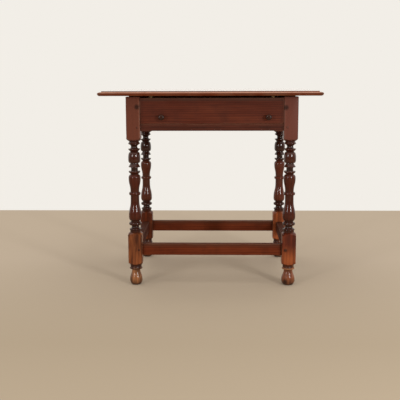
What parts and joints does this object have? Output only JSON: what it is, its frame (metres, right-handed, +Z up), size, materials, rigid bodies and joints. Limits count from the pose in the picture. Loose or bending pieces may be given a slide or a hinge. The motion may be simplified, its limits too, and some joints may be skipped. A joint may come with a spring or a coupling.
{
  "type": "tavern table",
  "caption": "Small wooden table with turned legs, a box stretcher, a moulded board top and a drawer with turned knobs that slides out at the front.",
  "frame": {"origin": "on the floor, under the middle of the frame", "axes": "+X to the right along the front, +Y to the back, +Z up; the drawer opens towards -Y"},
  "size_m": [0.789, 0.58, 0.711],
  "materials": {
    "waxed_wood": "old dark red-brown wax, satin",
    "plain_wood": "unfinished, dusty",
    "peg_wood": "dark wax, end grain",
    "knob_wood": "dark, polished by hands",
    "wrought_iron": "dark oxidised"
  },
  "bodies": {
    "frame": {"leg_front_left": "waxed_wood", "leg_front_right": "waxed_wood", "leg_rear_left": "waxed_wood", "leg_rear_right": "waxed_wood", "apron_left": "waxed_wood", "apron_right": "waxed_wood", "apron_rear": "waxed_wood", "drawer_rail": "waxed_wood", "stretcher_front": "waxed_wood", "stretcher_rear": "waxed_wood", "stretcher_left": "waxed_wood", "stretcher_right": "waxed_wood", "top_board_front": "waxed_wood", "top_board_middle": "waxed_wood", "top_board_rear": "waxed_wood", "drawer_runner_left": "plain_wood", "drawer_runner_right": "plain_wood", "drawer_guide_left": "plain_wood", "drawer_guide_right": "plain_wood", "drawer_stop_left": "plain_wood", "drawer_stop_right": "plain_wood", "top_pegs": "peg_wood", "apron_pegs": "peg_wood", "stretcher_pegs": "peg_wood", "runner_nails": "wrought_iron"},
    "drawer": {"drawer_front": "waxed_wood", "drawer_side_left": "plain_wood", "drawer_side_right": "plain_wood", "drawer_back": "plain_wood", "drawer_bottom": "plain_wood", "knob_left": "knob_wood", "knob_right": "knob_wood", "drawer_nails": "wrought_iron"}
  },
  "joints": [
    {"name": "drawer_slide", "type": "slide", "parent": "frame", "child": "drawer", "axis": [0, -1, 0], "range_m": [0, 0.3]}
  ]
}
